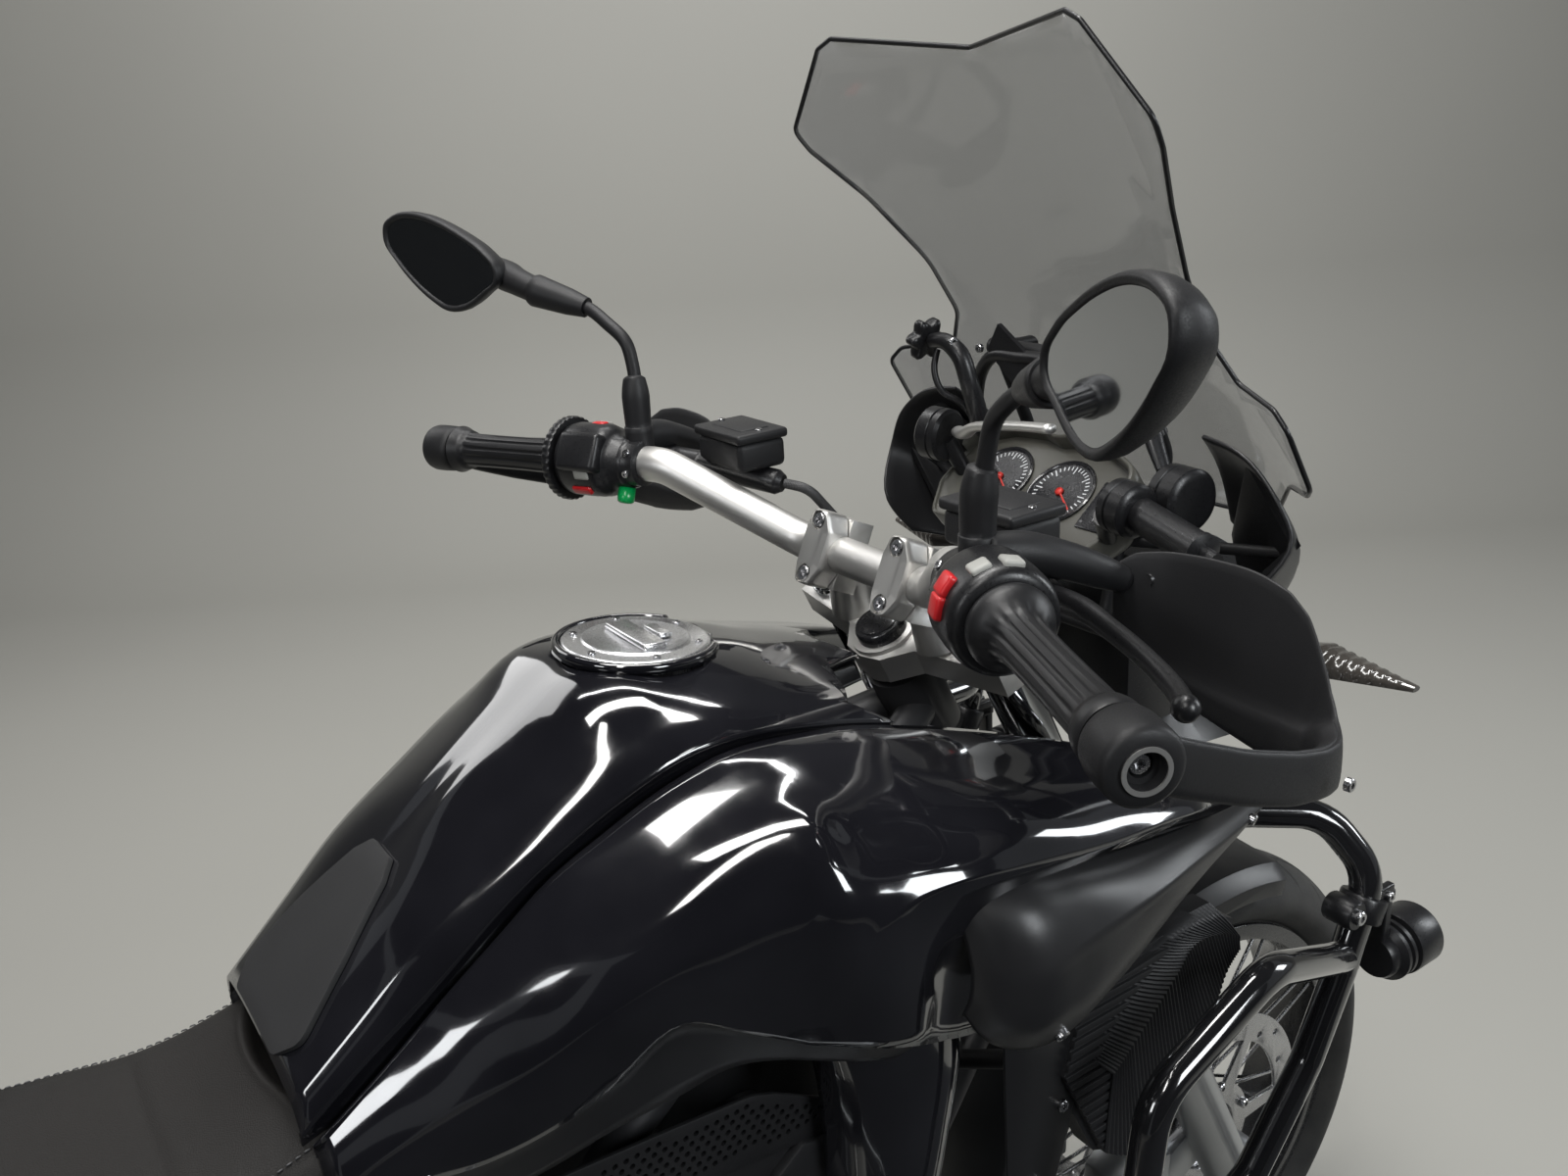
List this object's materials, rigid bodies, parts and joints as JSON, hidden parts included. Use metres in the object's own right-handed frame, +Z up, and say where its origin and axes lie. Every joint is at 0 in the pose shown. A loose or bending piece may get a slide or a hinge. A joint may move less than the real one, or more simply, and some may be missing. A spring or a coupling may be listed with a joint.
{
  "type": "adventure motorcycle",
  "caption": "Touring enduro motorcycle with flat-twin engine and tall screen, parked on its centre stand; steering, wheels, stands and filler cap move.",
  "frame": {"origin": "on the floor, midway along the length and on the plane of symmetry of the wheels", "axes": "+X forward along the length, +Y to the rider's left, +Z up"},
  "size_m": [2.207, 0.9838, 1.503],
  "materials": {
    "tyre": "matte",
    "rim": "satin",
    "hub": "satin",
    "disc": "brushed",
    "fork_leg": "satin",
    "stanchion": "polished",
    "yoke": "satin",
    "bar": "satin",
    "grip": "matte",
    "switch": "matte",
    "lever": "satin",
    "guard": "matte",
    "mirror_shell": "matte",
    "mirror": "polished",
    "caliper": "satin",
    "fender": "satin",
    "hose": "matte",
    "frame": "satin",
    "subframe": "satin",
    "arm": "satin",
    "shock": "satin",
    "engine": "cast",
    "cylinder": "cast",
    "airbox": "matte",
    "skid": "brushed",
    "exhaust": "satin",
    "tank": "gloss",
    "cap": "satin",
    "panel": "gloss",
    "trim": "matte",
    "pad": "matte",
    "shroud": "satin",
    "radiator": "matte",
    "screen": "gloss",
    "lamp": "satin",
    "beak": "satin",
    "carrier": "matte",
    "dials": "satin",
    "indicator": "matte",
    "seat": "matte",
    "rack": "satin",
    "tail": "matte",
    "footrest": "satin",
    "crash_bar": "gloss",
    "aux_lamp": "satin",
    "stand": "satin"
  },
  "bodies": {
    "chassis": {"main_frame": "frame", "rear_subframe": "subframe", "telelever_arm": "arm", "shock_absorbers": "shock", "engine_block": "engine", "cylinder_heads": "cylinder", "airbox": "airbox", "skid_plate": "skid", "exhaust": "exhaust", "swingarm": "arm", "rear_caliper": "caliper", "tank_cover": "tank", "tank_sides": "panel", "side_trims": "trim", "tank_pad": "pad", "radiator_shrouds": "shroud", "radiators": "radiator", "windscreen": "screen", "headlamp": "lamp", "beak": "beak", "cockpit_carrier": "carrier", "instruments": "dials", "indicators": "indicator", "seat_rider": "seat", "seat_passenger": "seat", "rear_rack": "rack", "tail_unit": "tail", "footrests": "footrest", "crash_bars": "crash_bar", "aux_lamps": "aux_lamp"},
    "steering": {"fork_sliders": "fork_leg", "fork_stanchions": "stanchion", "top_yoke": "yoke", "bar_clamps": "yoke", "handlebar": "bar", "grips": "grip", "switchgear": "switch", "control_levers": "lever", "hand_guards": "guard", "mirrors": "mirror_shell", "mirror_glasses": "mirror", "front_calipers": "caliper", "front_fender": "fender", "brake_hoses": "hose"},
    "front_wheel": {"front_tyre": "tyre", "front_rim": "rim", "front_hub": "hub", "front_discs": "disc"},
    "rear_wheel": {"rear_tyre": "tyre", "rear_rim": "rim", "rear_hub": "hub", "rear_disc": "disc"},
    "centre_stand": {"centre_stand": "stand"},
    "side_stand": {"side_stand": "stand"},
    "fuel_cap": {"fuel_cap": "cap"}
  },
  "joints": [
    {"name": "steering", "type": "hinge", "parent": "chassis", "child": "steering", "pos_m": [0.8811, 0, 0], "axis": [-0.4305, 0, 0.9026], "range_deg": [-40, 40]},
    {"name": "front_wheel_spin", "type": "hinge", "parent": "steering", "child": "front_wheel", "pos_m": [0.7815, 0, 0.322], "axis": [0, 1, 0], "continuous": true},
    {"name": "rear_wheel_spin", "type": "hinge", "parent": "chassis", "child": "rear_wheel", "pos_m": [-0.7255, 0, 0.336], "axis": [0, 1, 0], "continuous": true},
    {"name": "centre_stand_fold", "type": "hinge", "parent": "chassis", "child": "centre_stand", "pos_m": [-0.095, 0, 0.218], "axis": [0, 1, 0], "range_deg": [0, 80]},
    {"name": "side_stand_swing", "type": "hinge", "parent": "chassis", "child": "side_stand", "pos_m": [0, 0.172, 0.232], "axis": [-0.03, -0.7966, -0.6037], "range_deg": [0, 108]},
    {"name": "fuel_cap_hinge", "type": "hinge", "parent": "chassis", "child": "fuel_cap", "pos_m": [0.21326, 0, 1.07696], "axis": [0, 1, 0], "range_deg": [0, 85]}
  ]
}
